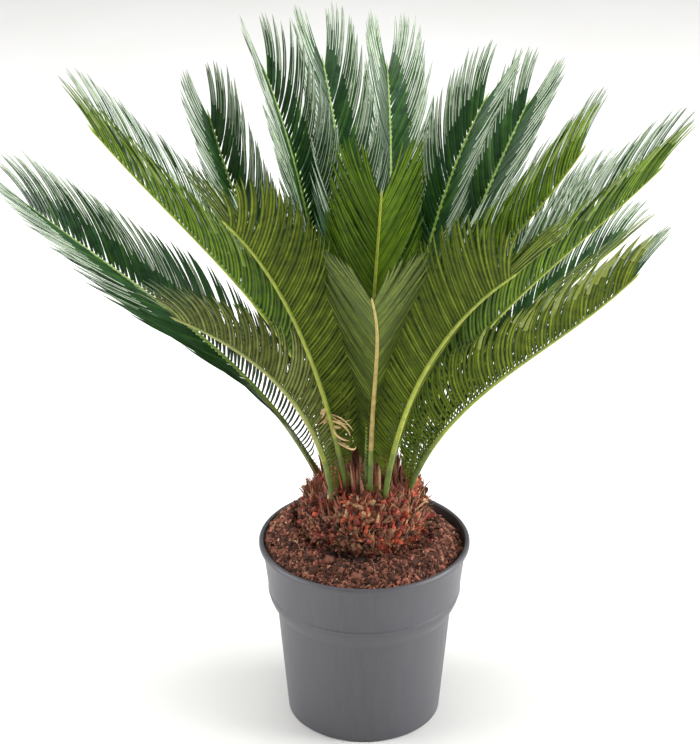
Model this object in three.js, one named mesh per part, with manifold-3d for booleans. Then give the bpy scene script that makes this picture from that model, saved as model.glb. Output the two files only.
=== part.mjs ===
// A potted sago palm: a round nursery pot, its soil, the stout scaly trunk and a crown of stiff,
// feather-shaped fronds. Millimetres, +Z up, origin at the centre of the pot's flat underside.
// A bearing of 0 degrees is +X and a bearing of 90 degrees is +Y.
import * as THREE from "three";
import { mergeVertices } from "three/addons/utils/BufferGeometryUtils.js";
import Module from "manifold-3d";

const wasm = await Module();
wasm.setup();

// ---------------------------------------------------------------- driving dimensions

const CLEARANCE = 0.35; // between touching sub-parts
const WALL_CLEARANCE = 0.45; // across a slanted wall or round a leaf stalk
const AROUND = 36; // facets round the pot and the soil

const POT = {
  height: 220,
  wall: 2.0,
  floor: 3.0,
  footRadius: 88,
  stepHeight: 132, // where the body meets the curved shoulder
  stepRadius: 99.5,
  shoulderHeight: 158, // where the shoulder meets the collar
  shoulderRadius: 109.6,
  collarTopRadius: 115.6, // just under the rim bead
  rimRadius: 120,
  beadDepth: 7,
  rounding: 1.6, // softened edges of the rim and the foot
  shoulderBulge: 2.8, // how far the shoulder swells just above the step
  drainHoles: 6,
  drainRadius: 6,
  drainCircle: 62,
};

const SOIL = {
  edgeHeight: 213, // where the soil meets the pot's wall
  edgeDip: 9, // how much lower it lies at the dip's bearing
  dipBearing: 40,
  dipSpread: 3,
  moundHeight: 233,
  moundRadius: 84,
  heapBearing: 165, // where coir is heaped against the trunk
  heapRise: 12,
  heapSpread: 4, // the higher, the narrower
  heapAtWall: 4, // how much the heap still lifts the soil at the pot's wall
  hollowBearing: 258, // where the mound is scooped out in front of the trunk
  hollowDepth: 5,
  hollowSpread: 12,
  slopeRadius: 99, // half-way down the mound's side
  seatHeight: 229, // flat bed that the trunk stands on
  seatRadius: 71,
  roughness: 1.6,
  coarseLump: 9, // a lump's size over two pi
  fineLump: 3.5,
};

const TRUNK = {
  foot: SOIL.seatHeight + CLEARANCE,
  crown: 304, // highest point of its domed top
  footRadius: 58,
  waistRadius: 68,
  waistShare: 0.36, // height of the widest place, as a share of the trunk
  columns: 22,
  rows: 8,
  scaleDepth: 4, // how far the old leaf bases stand out
  scaleLift: 2.5, // how far their points lie above their row
  dentDepth: 1.5, // the hollows between them
};

// Dried stubs of old leaf stalks, round the upper half of the trunk.
const STUBS = {
  count: 34,
  shortest: 15,
  longest: 31,
  width: 9,
  sunk: 7,
  lowest: 0.48, // shares of the trunk's height
  highest: 0.93,
  flattest: 35, // slopes above the horizon
  steepest: 78,
  stray: 14,
};
const GOLDEN_ANGLE = 137.5;

// Where the leaf stalks spring from: three rings round the growing point.
const RING = {
  outer: { radius: 50, height: 276 },
  middle: { radius: 35, height: 288 },
  inner: { radius: 19, height: 294 },
};

const STALK = {
  baseWidth: 6.8,
  tipWidth: 2,
  baseDepth: 6.6,
  tipDepth: 2.4,
  taper: 0.8, // below 1, most of the taper lies near the base
  bareShare: 0.15, // share of the frond below its first leaflets
  leafyEnd: 0.975, // where the last leaflets end
  pointLength: 12, // bare point at the far end
  settling: 2.5, // how quickly a frond's slope settles after its base
  rollEnd: 0.45, // share of the frond by which it has rolled round
};

const LEAFLET = {
  pairs: 21,
  longest: 118,
  rootThickness: 1.9,
  tipThickness: 1.2,
  lowSweep: 60, // angle between leaflet and rib at the bottom of the frond
  highSweep: 20, // and at its tip, where a frond has no sweep of its own
  sweepPower: 0.45, // below 1, most of that turn lies low on the frond
  lowRaise: 50, // how far the leaflets fold up out of the frond's plane
  highRaise: 40,
  fullFrom: 0.3, // share of the leafy part by which the leaflets reach full length
  lowLength: 0.38, // length of the lowest one, as a share of the longest
  waneBy: 0.35, // how much shorter the last one is, where a frond has no wane of its own
  fullStature: 500, // length of a frond whose leaflets are full size
};

// Every frond leaves its ring at its bearing. Its slope above the horizon starts at rise, settles
// to lean and has turned to tip at the far end, while its bearing drifts by turn.
// roll turns the blade about its own rib above the bare stalk, and twist turns it on near the tip.
// own holds the sweep and the wane of its last leaflets, where they aren't the usual ones.
const frond = (ring, bearing, rise, lean, tip, length, turn, roll, twist, own = {}) => ({
  ring, bearing, rise, lean, tip, length, turn, roll, twist, ...own,
});
const FRONDS = [
  frond("outer", 277, 98, 33, 37, 520, -12, 0, 0, { wane: 0.1 }),
  frond("outer", 293, 79, 51, 36, 510, 3, -12, 0, { sweep: 38, wane: 0.1 }),
  frond("outer", 328, 76, 33, 50, 470, -13, 0, 0),
  frond("outer", 354, 92, 38, 49, 500, -1, 0, 0),
  frond("outer", 17, 68, 42, 31, 380, 5, 0, 0),
  frond("outer", 154, 61, 21, 25, 492, -5, -44, 50),
  frond("outer", 230, 83, 50, 32, 392, -11, 10, 0),
  frond("outer", 39, 72, 34, 24, 430, 0, 0, 0),
  frond("outer", 61, 75, 38, 20, 460, 0, 0, 0),
  frond("outer", 83, 74, 31, 22, 480, 4, 0, 0),
  frond("outer", 105, 76, 36, 24, 450, -2, 0, 0),
  frond("outer", 129, 72, 30, 18, 400, 3, 0, 0),
  frond("middle", 241, 74, 63, 39, 508, 3, 0, 0, { sweep: 26 }),
  frond("middle", 273, 85, 55, 54, 518, 0, 0, 0, { sweep: 27 }),
  frond("middle", 343, 103, 40, 61, 490, -1, 0, 0),
  frond("middle", 53, 60, 55, 46, 463, -2, 20, 0),
  frond("middle", 76, 74, 41, 42, 500, 19, 12, 0),
  frond("middle", 122, 73, 82, 54, 470, 8, 0, 0),
  frond("middle", 149, 73, 60, 73, 440, 1, -35, 0),
  frond("middle", 184, 92, 41, 53, 515, 0, 0, 0),
  frond("inner", 97, 86, 60, 43, 485, 8, 0, 0),
  frond("inner", 45, 70, 82, 42, 450, 5, 20, 0),
];

// ---------------------------------------------------------------- small helpers

const radians = THREE.MathUtils.degToRad;
const mix = THREE.MathUtils.lerp;
const onCircle = (radius, bearing, height) =>
  new THREE.Vector3(
    radius * Math.cos(radians(bearing)),
    radius * Math.sin(radians(bearing)),
    height,
  );

// A repeatable stream of numbers from 0 to 1.
function seeded(seed) {
  let state = seed;
  return () => {
    state = (state * 1664525 + 1013904223) % 4294967296;
    return state / 4294967296;
  };
}

// Corners and faces gathered by hand into one closed surface.
class Surface {
  corners = [];
  faces = [];
  corner(point) {
    return this.corners.push(point) - 1;
  }
  face(...loop) {
    for (let i = 2; i < loop.length; i++) this.faces.push(loop[0], loop[i - 1], loop[i]);
  }
  geometry() {
    const geometry = new THREE.BufferGeometry().setFromPoints(this.corners);
    geometry.setIndex(this.faces);
    return geometry;
  }
}

function solidOf(geometry) {
  const bare = geometry.clone();
  bare.deleteAttribute("normal");
  bare.deleteAttribute("uv");
  const merged = mergeVertices(bare, 1e-3);
  const vertProperties = merged.attributes.position.array;
  const triVerts = new Uint32Array(merged.index.array);
  return new wasm.Manifold(new wasm.Mesh({ numProp: 3, vertProperties, triVerts }));
}

// The largest body of a solid, as a geometry: crumbs that a cut leaves loose are dropped.
function geometryOf(solid) {
  const bodies = solid.decompose().sort((a, b) => b.volume() - a.volume());
  const mesh = bodies[0].getMesh();
  const geometry = new THREE.BufferGeometry();
  geometry.setAttribute("position", new THREE.BufferAttribute(mesh.vertProperties, 3));
  geometry.setIndex(new THREE.BufferAttribute(mesh.triVerts, 1));
  return geometry;
}

function namedMesh(name, geometry, color, roughness) {
  const material = new THREE.MeshStandardMaterial({ color, roughness, metalness: 0 });
  material.flatShading = true;
  const mesh = new THREE.Mesh(geometry, material);
  mesh.name = name;
  return mesh;
}

// ---------------------------------------------------------------- pot

// Radius of the pot's inner wall at a height.
function innerRadius(height) {
  const below = POT.stepRadius - POT.wall;
  const above = POT.shoulderRadius - POT.wall;
  const top = POT.collarTopRadius - POT.wall / 2;
  if (height < POT.stepHeight) {
    return mix(POT.footRadius - POT.wall, below, height / POT.stepHeight);
  }
  if (height < POT.shoulderHeight) {
    const share = (height - POT.stepHeight) / (POT.shoulderHeight - POT.stepHeight);
    return mix(below, above, share);
  }
  return mix(above, top, (height - POT.shoulderHeight) / (POT.height - POT.shoulderHeight));
}

function potGeometry() {
  const bead = POT.height - POT.beadDepth;
  const bend = (POT.shoulderHeight - POT.stepHeight) / 4;
  const profile = [
    [0, 0],
    [POT.footRadius - POT.rounding, 0],
    [POT.footRadius, POT.rounding],
    [POT.stepRadius, POT.stepHeight],
    [POT.stepRadius + POT.shoulderBulge, POT.stepHeight + bend],
    [POT.shoulderRadius - POT.rounding, POT.shoulderHeight - bend],
    [POT.shoulderRadius, POT.shoulderHeight],
    [POT.collarTopRadius, bead],
    [POT.rimRadius - POT.rounding / 2, bead],
    [POT.rimRadius, bead + POT.rounding],
    [POT.rimRadius, POT.height - POT.rounding],
    [POT.rimRadius - POT.rounding, POT.height],
    [innerRadius(POT.height), POT.height],
    [innerRadius(POT.shoulderHeight), POT.shoulderHeight],
    [innerRadius(POT.stepHeight), POT.stepHeight],
    [innerRadius(POT.floor), POT.floor],
    [0, POT.floor],
  ].map(([radius, height]) => new THREE.Vector2(radius, height));
  const shell = new THREE.LatheGeometry(profile, AROUND);
  shell.rotateX(Math.PI / 2);
  let pot = solidOf(shell);
  for (let i = 0; i < POT.drainHoles; i++) {
    const drill = new THREE.CylinderGeometry(POT.drainRadius, POT.drainRadius, 3 * POT.floor, 8);
    drill.rotateX(Math.PI / 2);
    const middle = onCircle(POT.drainCircle, (i * 360) / POT.drainHoles, POT.floor / 2);
    drill.translate(middle.x, middle.y, middle.z);
    pot = pot.subtract(solidOf(drill));
  }
  return geometryOf(pot);
}

// ---------------------------------------------------------------- soil

// Height of the lumps at a place, the same on every run.
function lumps(x, y) {
  const coarse = Math.sin(x / SOIL.coarseLump) * Math.cos(y / SOIL.coarseLump);
  const fine = Math.sin((x + y / 2) / SOIL.fineLump) * Math.sin((y - x / 2) / SOIL.fineLump);
  return SOIL.roughness * (coarse + fine);
}

function soilGeometry() {
  const surface = new Surface();
  const foot = POT.floor + CLEARANCE;
  const wallRadius = (height) => innerRadius(height) - WALL_CLEARANCE;
  // From 0 on the far side to 1 at a bearing.
  const towards = (bearing, middle) => (1 + Math.cos(radians(bearing - middle))) / 2;
  const heapAt = (bearing) => towards(bearing, SOIL.heapBearing) ** SOIL.heapSpread;
  const edgeAt = (bearing) => {
    const dip = SOIL.edgeDip * towards(bearing, SOIL.dipBearing) ** SOIL.dipSpread;
    return SOIL.edgeHeight - dip + SOIL.heapAtWall * heapAt(bearing);
  };
  const moundAt = (bearing) => {
    const hollow = SOIL.hollowDepth * towards(bearing, SOIL.hollowBearing) ** SOIL.hollowSpread;
    return SOIL.moundHeight + SOIL.heapRise * heapAt(bearing) - hollow;
  };
  const rings = [
    () => [wallRadius(foot), foot],
    () => [wallRadius(POT.stepHeight), POT.stepHeight],
    () => [wallRadius(POT.shoulderHeight), POT.shoulderHeight],
    (bearing) => [wallRadius(edgeAt(bearing)), edgeAt(bearing)],
    (bearing) => [SOIL.slopeRadius, (edgeAt(bearing) + moundAt(bearing)) / 2],
    (bearing) => [SOIL.moundRadius, moundAt(bearing)],
    () => [SOIL.seatRadius, SOIL.seatHeight],
  ];
  const isRough = [false, false, false, false, true, true, false];
  const loops = rings.map((ring, level) => {
    const loop = [];
    for (let i = 0; i < AROUND; i++) {
      const bearing = (i * 360) / AROUND;
      const [radius, height] = ring(bearing);
      const point = onCircle(radius, bearing, height);
      if (isRough[level]) point.z += lumps(point.x, point.y);
      loop.push(surface.corner(point));
    }
    return loop;
  });
  for (let level = 1; level < loops.length; level++) {
    for (let i = 0; i < AROUND; i++) {
      const next = (i + 1) % AROUND;
      surface.face(loops[level - 1][i], loops[level - 1][next], loops[level][next], loops[level][i]);
    }
  }
  const bed = surface.corner(new THREE.Vector3(0, 0, foot));
  const seat = surface.corner(new THREE.Vector3(0, 0, SOIL.seatHeight));
  for (let i = 0; i < AROUND; i++) {
    const next = (i + 1) % AROUND;
    surface.face(bed, loops[0][next], loops[0][i]);
    surface.face(seat, loops.at(-1)[i], loops.at(-1)[next]);
  }
  return surface.geometry();
}

// ---------------------------------------------------------------- fronds

const PATH_STEPS = 60; // in which a midrib's path is added up

// The midrib's points and its own directions: along the rib, to its left and out of its face.
function midrib(frond) {
  const ring = RING[frond.ring];
  const step = frond.length / PATH_STEPS;
  const point = onCircle(ring.radius, frond.bearing, ring.height);
  const path = [];
  for (let i = 0; i <= PATH_STEPS; i++) {
    const share = i / PATH_STEPS;
    const early = (frond.rise - frond.lean) * (1 - share) ** STALK.settling;
    const slope = radians(frond.lean + early + (frond.tip - frond.lean) * share ** 2);
    const bearing = radians(frond.bearing + frond.turn * share);
    const flat = Math.cos(slope);
    const along = new THREE.Vector3(flat * Math.cos(bearing), flat * Math.sin(bearing), Math.sin(slope));
    const left = new THREE.Vector3(-Math.sin(bearing), Math.cos(bearing), 0);
    const roll = frond.roll * Math.min(share / STALK.rollEnd, 1) + frond.twist * share ** 3;
    left.applyAxisAngle(along, radians(roll));
    const face = new THREE.Vector3().crossVectors(along, left);
    path.push({ point: point.clone(), along, left, face });
    point.addScaledVector(along, step);
  }
  return (share) => {
    const place = Math.min(Math.max(share, 0), 1) * PATH_STEPS;
    const low = Math.min(Math.floor(place), PATH_STEPS - 1);
    const blend = (key) => path[low][key].clone().lerp(path[low + 1][key], place - low);
    return { point: blend("point"), along: blend("along"), left: blend("left"), face: blend("face") };
  };
}

// The rib's five corners at a share of the frond's length, with a margin all round:
// a flat top, two low bands that the leaflets spring from, and a keel underneath.
function ribSection(at, share, margin = 0) {
  const { point, left, face } = at(share);
  const width = mix(STALK.baseWidth, STALK.tipWidth, share ** STALK.taper) / 2 + margin;
  const depth = mix(STALK.baseDepth, STALK.tipDepth, share ** STALK.taper) + margin;
  const band = mix(LEAFLET.rootThickness, LEAFLET.tipThickness, share);
  const corner = (side, height) =>
    point.clone().addScaledVector(left, side).addScaledVector(face, height);
  return [
    corner(width, margin),
    corner(width, -band - margin),
    corner(0, -depth),
    corner(-width, -band - margin),
    corner(-width, margin),
  ];
}

// How long a leaflet is, by its share of the way up the leafy part: short at the bottom, longest
// a third of the way up and shorter again at the very tip.
function leafletLength(frond, share) {
  const growing = Math.sin(Math.min(share / LEAFLET.fullFrom, 1) * (Math.PI / 2));
  const past = Math.max((share - LEAFLET.fullFrom) / (1 - LEAFLET.fullFrom), 0);
  const shrinking = 1 - (frond.wane ?? LEAFLET.waneBy) * past ** 4;
  const stature = Math.min(frond.length / LEAFLET.fullStature, 1);
  return LEAFLET.longest * stature * mix(LEAFLET.lowLength, 1, growing) * shrinking;
}

// Where a leaflet's point lies, and the way its thickness runs there.
function leafletTip(frond, at, share, leafy, side, shortening, extraRaise) {
  const { point, along, left, face } = at(share);
  const highSweep = frond.sweep ?? LEAFLET.highSweep;
  const sweep = radians(mix(LEAFLET.lowSweep, highSweep, leafy ** LEAFLET.sweepPower));
  const raise = radians(mix(LEAFLET.lowRaise, LEAFLET.highRaise, leafy) + extraRaise);
  const outward = left.clone().multiplyScalar(side * Math.cos(raise));
  outward.addScaledVector(face, Math.sin(raise));
  const thickness = face.clone().multiplyScalar(Math.cos(raise));
  thickness.addScaledVector(left, -side * Math.sin(raise));
  const reach = leafletLength(frond, leafy) * shortening;
  const tip = point.clone().addScaledVector(along, reach * Math.cos(sweep));
  tip.addScaledVector(outward, reach * Math.sin(sweep));
  const half = LEAFLET.tipThickness / 2;
  return [tip.clone().addScaledVector(thickness, half), tip.clone().addScaledVector(thickness, -half)];
}

// ---- keeping the fronds clear of each other: convex blocks and the axes that may part them

function block(points, edges) {
  const box = new THREE.Box3().setFromPoints(points);
  const directions = edges.map(([a, b]) => points[b].clone().sub(points[a]).normalize());
  const axes = [];
  for (let i = 0; i < directions.length; i++) {
    for (let j = i + 1; j < directions.length; j++) {
      const axis = new THREE.Vector3().crossVectors(directions[i], directions[j]);
      if (axis.length() > 1e-3) axes.push(axis.normalize());
    }
  }
  return { points, box, directions, axes };
}

function gapAlong(axis, a, b) {
  const range = (points) => {
    let low = Infinity;
    let high = -Infinity;
    for (const point of points) {
      const place = axis.dot(point);
      low = Math.min(low, place);
      high = Math.max(high, place);
    }
    return [low, high];
  };
  const [lowA, highA] = range(a.points);
  const [lowB, highB] = range(b.points);
  return Math.max(lowB - highA, lowA - highB);
}

const grown = new THREE.Box3();
function apart(a, b) {
  grown.copy(a.box).expandByScalar(CLEARANCE);
  if (!grown.intersectsBox(b.box)) return true;
  for (const axis of [...a.axes, ...b.axes]) if (gapAlong(axis, a, b) > CLEARANCE) return true;
  const axis = new THREE.Vector3();
  for (const one of a.directions) {
    for (const other of b.directions) {
      axis.crossVectors(one, other);
      if (axis.length() < 1e-3) continue;
      if (gapAlong(axis.normalize(), a, b) > CLEARANCE) return true;
    }
  }
  return false;
}

// Pairs of corners that give the directions of a block's edges, one of each direction.
const RIB_EDGES = [[0, 5], [0, 1], [1, 2], [2, 3], [0, 4]];
const LEAFLET_EDGES = [[0, 1], [0, 2], [0, 4], [1, 4], [2, 5], [3, 5], [4, 5]];

// All stations of a frond, from the stalk's base to the last pair of leaflets.
function stations(frond) {
  const at = midrib(frond);
  const bare = [0, STALK.bareShare / 2];
  const leafy = Array.from({ length: LEAFLET.pairs + 1 }, (_, i) =>
    mix(STALK.bareShare, STALK.leafyEnd, i / LEAFLET.pairs),
  );
  const shares = [...bare, ...leafy];
  const sections = shares.map((share) => ribSection(at, share));
  return { frond, at, shares, sections, bareSteps: bare.length, leaflets: [] };
}

const plans = FRONDS.map(stations);
const placed = [];
plans.forEach((plan, owner) => {
  for (let i = 1; i < plan.sections.length; i++) {
    const points = [...plan.sections[i - 1], ...plan.sections[i]];
    placed.push({ owner, step: i, ...block(points, RIB_EDGES) });
  }
});

// Each leaflet keeps its full length if it clears all that is placed, also folded a little
// more or less; otherwise it is shortened, and left out where even a short one would touch.
const LENGTH_TRIES = [1, 0.82, 0.64, 0.46];
const FOLD_TRIES = [0, 12, -12];
const TRIES = LENGTH_TRIES.flatMap((length) => FOLD_TRIES.map((fold) => [length, fold]));

function placeLeaflet(plan, owner, step, side) {
  const leafy = (step - plan.bareSteps - 0.5) / LEAFLET.pairs;
  const share = (plan.shares[step - 1] + plan.shares[step]) / 2;
  const [near, far] = [plan.sections[step - 1], plan.sections[step]];
  const root = side > 0 ? [near[0], near[1], far[0], far[1]] : [near[4], near[3], far[4], far[3]];
  for (const [shortening, extraRaise] of TRIES) {
    const tips = leafletTip(plan.frond, plan.at, share, leafy, side, shortening, extraRaise);
    const shape = block([...root, ...tips], LEAFLET_EDGES);
    const isClear = placed.every((other) => {
      const joined = other.owner === owner && Math.abs(other.step - step) < 2;
      return joined || apart(shape, other);
    });
    if (isClear) {
      placed.push({ owner, step, ...shape });
      return tips;
    }
  }
  return null;
}

plans.forEach((plan, owner) => {
  for (let step = plan.bareSteps + 1; step < plan.sections.length; step++) {
    plan.leaflets[step] = [placeLeaflet(plan, owner, step, 1), placeLeaflet(plan, owner, step, -1)];
  }
});

// One closed blade: the rib from section to section, pointed at its far end, with each leaflet
// a wedge that takes the place of the band beside its stretch of rib.
function bladeGeometry(sections, leaflets, point) {
  const surface = new Surface();
  const rings = sections.map((section) => section.map((corner) => surface.corner(corner)));
  surface.face(...rings[0]);
  for (let step = 1; step < rings.length; step++) {
    const [leftA, lowLeftA, keelA, lowRightA, rightA] = rings[step - 1];
    const [leftB, lowLeftB, keelB, lowRightB, rightB] = rings[step];
    surface.face(rightA, rightB, leftB, leftA);
    surface.face(keelA, lowLeftA, lowLeftB, keelB);
    surface.face(lowRightA, keelA, keelB, lowRightB);
    const [leftTips, rightTips] = leaflets[step] ?? [];
    if (leftTips) {
      const [top, under] = leftTips.map((corner) => surface.corner(corner));
      surface.face(leftA, leftB, top);
      surface.face(lowLeftB, lowLeftA, under);
      surface.face(leftA, top, under, lowLeftA);
      surface.face(leftB, lowLeftB, under, top);
    } else {
      surface.face(lowLeftA, leftA, leftB, lowLeftB);
    }
    if (rightTips) {
      const [top, under] = rightTips.map((corner) => surface.corner(corner));
      surface.face(rightB, rightA, top);
      surface.face(lowRightA, lowRightB, under);
      surface.face(rightA, lowRightA, under, top);
      surface.face(rightB, top, under, lowRightB);
    } else {
      surface.face(rightA, lowRightA, lowRightB, rightB);
    }
  }
  const end = surface.corner(point);
  const last = rings.at(-1);
  last.forEach((corner, i) => surface.face(last[(i + 1) % 5], corner, end));
  return surface.geometry();
}

function frondGeometry(plan) {
  const end = plan.at(1);
  const point = end.point.clone().addScaledVector(end.along, STALK.pointLength);
  return bladeGeometry(plan.sections, plan.leaflets, point);
}

// ---------------------------------------------------------------- trunk

// A barrel with a domed top: its radius at a share of its height.
function trunkRadius(share) {
  if (share < TRUNK.waistShare) {
    const swell = Math.sin(((share / TRUNK.waistShare) * Math.PI) / 2);
    return mix(TRUNK.footRadius, TRUNK.waistRadius, swell);
  }
  const fall = (share - TRUNK.waistShare) / (1 - TRUNK.waistShare);
  return TRUNK.waistRadius * Math.sqrt(Math.max(1 - fall ** 2, 0));
}

// Barrel surface with old leaf bases standing out in a staggered pattern.
function trunkBody() {
  const surface = new Surface();
  const height = TRUNK.crown - TRUNK.foot;
  const random = seeded(11);
  const rows = [];
  for (let row = 0; row <= TRUNK.rows; row++) {
    const share = row / (TRUNK.rows + 0.5);
    const loop = [];
    for (let column = 0; column < TRUNK.columns; column++) {
      const standsOut = (row + column) % 2 === 0 && row > 0;
      const depth = standsOut ? TRUNK.scaleDepth : -TRUNK.dentDepth;
      const relief = depth * mix(0.5, 1, random());
      const bearing = (column * 360) / TRUNK.columns;
      const lift = standsOut ? TRUNK.scaleLift : 0;
      const radius = trunkRadius(share) + relief;
      loop.push(surface.corner(onCircle(radius, bearing, TRUNK.foot + share * height + lift)));
    }
    rows.push(loop);
  }
  for (let row = 1; row < rows.length; row++) {
    for (let i = 0; i < TRUNK.columns; i++) {
      const next = (i + 1) % TRUNK.columns;
      surface.face(rows[row - 1][i], rows[row - 1][next], rows[row][next]);
      surface.face(rows[row - 1][i], rows[row][next], rows[row][i]);
    }
  }
  const foot = surface.corner(new THREE.Vector3(0, 0, TRUNK.foot));
  const crown = surface.corner(new THREE.Vector3(0, 0, TRUNK.crown));
  for (let i = 0; i < TRUNK.columns; i++) {
    const next = (i + 1) % TRUNK.columns;
    surface.face(foot, rows[0][next], rows[0][i]);
    surface.face(crown, rows.at(-1)[i], rows.at(-1)[next]);
  }
  return solidOf(surface.geometry());
}

// One dried stub of an old leaf stalk: a slim three-sided spike rooted in the trunk.
function stubSolid(index, random) {
  const share = mix(STUBS.lowest, STUBS.highest, random());
  const bearing = index * GOLDEN_ANGLE;
  const root = onCircle(
    trunkRadius(share) - STUBS.sunk,
    bearing,
    mix(TRUNK.foot, TRUNK.crown, share) - STUBS.sunk / 2,
  );
  const slope = radians(mix(STUBS.flattest, STUBS.steepest, share ** 2));
  const leaning = bearing + mix(-STUBS.stray, STUBS.stray, random());
  const aim = onCircle(Math.cos(slope), leaning, Math.sin(slope));
  const length = STUBS.sunk + mix(STUBS.shortest, STUBS.longest, random());
  const spike = new THREE.ConeGeometry(STUBS.width / 2, length, 3);
  spike.translate(0, length / 2, 0);
  spike.applyQuaternion(new THREE.Quaternion().setFromUnitVectors(new THREE.Vector3(0, 1, 0), aim));
  spike.translate(root.x, root.y, root.z);
  return solidOf(spike);
}

// The hole that a leaf stalk stands in, a little wider than the stalk all round.
function socketSolid(plan) {
  const shares = plan.shares.slice(0, plan.bareSteps + 2);
  const sections = shares.map((share) => ribSection(plan.at, share, WALL_CLEARANCE));
  const start = plan.at(0).along;
  sections[0].forEach((corner) => corner.addScaledVector(start, -WALL_CLEARANCE));
  return solidOf(bladeGeometry(sections, [], plan.at(plan.shares[plan.bareSteps + 2]).point));
}

function trunkGeometry() {
  const random = seeded(29);
  let trunk = trunkBody();
  for (let i = 0; i < STUBS.count; i++) trunk = trunk.add(stubSolid(i, random));
  for (const plan of plans) trunk = trunk.subtract(socketSolid(plan));
  return geometryOf(trunk);
}

// ---------------------------------------------------------------- the whole plant

const palm = new THREE.Group();
palm.add(namedMesh("pot", potGeometry(), 0x66656b, 0.55));
palm.add(namedMesh("soil", soilGeometry(), 0x4e372b, 0.95));
palm.add(namedMesh("trunk", trunkGeometry(), 0x6b3a28, 0.9));

const GREENS = { outer: 0x5b742c, middle: 0x4c6d28, inner: 0x2c5030 };
const counts = { outer: 0, middle: 0, inner: 0 };
for (const plan of plans) {
  const ring = plan.frond.ring;
  counts[ring] += 1;
  const name = `frond_${ring}_${String(counts[ring]).padStart(2, "0")}`;
  palm.add(namedMesh(name, frondGeometry(plan), GREENS[ring], 0.5));
}

export default palm;
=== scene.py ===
"""A potted sago palm: its fronds, trunk, soil and pot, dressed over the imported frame.

Lengths are worked out in millimetres and turned to metres where a mesh is written. A bearing of
0 degrees is +X and a bearing of 90 degrees is +Y. +Z is up.
"""

import math

import bmesh
import bpy
import numpy as np
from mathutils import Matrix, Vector


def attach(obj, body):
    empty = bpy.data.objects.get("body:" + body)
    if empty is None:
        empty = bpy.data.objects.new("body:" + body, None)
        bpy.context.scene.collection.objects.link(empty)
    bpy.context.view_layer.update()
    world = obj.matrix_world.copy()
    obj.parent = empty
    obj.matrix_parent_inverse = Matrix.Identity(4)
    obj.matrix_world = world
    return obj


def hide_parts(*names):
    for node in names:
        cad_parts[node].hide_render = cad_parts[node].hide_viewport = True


MM = 0.001
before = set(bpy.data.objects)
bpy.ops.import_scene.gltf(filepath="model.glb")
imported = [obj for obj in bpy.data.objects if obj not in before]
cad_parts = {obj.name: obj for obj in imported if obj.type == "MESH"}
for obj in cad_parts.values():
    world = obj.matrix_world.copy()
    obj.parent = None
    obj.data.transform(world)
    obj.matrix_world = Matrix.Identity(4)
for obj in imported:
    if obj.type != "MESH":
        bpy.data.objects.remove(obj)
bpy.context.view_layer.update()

# ---------------------------------------------------------------- sizes, in millimetres

POT = {
    "height": 220,
    "wall": 2.0,
    "floor": 3.0,
    "foot_radius": 88,
    "step_height": 132,
    "step_radius": 99.5,
    "shoulder_height": 158,
    "shoulder_radius": 109.6,
    "collar_top_radius": 115.6,
    "rim_radius": 120,
    "bead_depth": 7,
    "drain_holes": 6,
    "drain_radius": 6,
    "drain_circle": 62,
}

SOIL = {
    "edge_height": 213,
    "edge_dip": 9,
    "dip_bearing": 40,
    "mound_height": 233,
    "mound_radius": 84,
    "heap_bearing": 165,
    "heap_rise": 12,
    "heap_at_wall": 4,
    "hollow_bearing": 258,
    "hollow_depth": 5,
    "seat_height": 229,
    "seat_radius": 71,
    "edge_radius": 113,
    "gap": 0.45,
    "bed_height": 205,
    "crumbs_from": 56,
    "crumbs_to": 110,
    "fibres_from": 60,
    "fibres_to": 108,
    # Painted shade on the crumbs in the hollow at the trunk's foot: width in degrees, reach in mm.
    "shade_width": 26,
    "shade_radius": 72,
    "shade_fade": 9,
    "coir_bearing": 183,
}

TRUNK = {
    "foot": 229.35,
    "crown": 304,
    "foot_radius": 58,
    "waist_radius": 68,
    "waist_share": 0.36,
    "red_bearing": 296,
    "red_share": 0.85,
    "red_spread": 0.16,
    "heap_bearing": 290,
    "heap_foot": 63,
    "heap_top": 54,
}

RING = {"outer": (50, 276), "middle": (35, 288), "inner": (19, 294)}  # radius, height

STALK = {
    "base_width": 6.8,
    "tip_width": 2.0,
    "base_depth": 6.6,
    "tip_depth": 2.4,
    "taper": 0.8,
    "bare_share": 0.15,
    "first_share": 0.07,
    "leafy_end": 0.975,
    "rib_end": 1.01,
    "settling": 2.5,
    "roll_end": 0.45,
    "leaflet_seat": 0.42,
    "leaflet_sink": 0.8,
    "spines_from": 0.035,
}

LEAFLET = {
    "spacing": 5.9,
    "spreading": 0.25,
    "longest": 118,
    "low_width": 2.8,
    "full_width": 4.9,
    "high_width": 4.2,
    "widest_at": 0.4,
    "low_sweep": 60,
    "high_sweep": 20,
    "sweep_power": 0.45,
    "low_raise": 50,
    "high_raise": 40,
    "full_from": 0.3,
    "low_length": 0.38,
    "wane_by": 0.4,
    "wane_power": 11,
    "closing_from": 0.88,
    "closed_sweep": 0.6,
    "full_stature": 500,
    "blade_turn": 24,
    "side_turn": -3,
    "low_arch": 24,
    "high_arch": 12,
    "arch_raise": 5,
    "shortest": 0.22,
    "slimmest": 0.7,
    "stray": 1.3,
    "turn_stray": 5,
    "dry_stray": 9,
    "unevenness": 0.025,
}

COUNT = {
    "dried_leaflets": 26,
    "drooping_leaflets": 14,
    "spines": 4,  # on each side of a stalk
    "leaf_bases": 460,
    "cork_lumps": 420,
    "cork_crumbs": 3000,
    "stubs": 34,
    "short_scales": 420,
    "tall_scales": 150,
    "fibres": 2100,
    "wool": 2600,
    "soil_clumps": 1300,
    "soil_crumbs": 11000,
    "bark_chips": 1700,
    "coir_crumbs": 1300,
    "coir_fibres": 900,
}

# The front fronds' leaflets sweep less towards the tip, here in degrees from the rib.
WIDE_SWEEP = {
    "frond_outer_01": 30,
    "frond_outer_02": 38,
    "frond_middle_01": 26,
    "frond_middle_02": 27,
}

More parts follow.
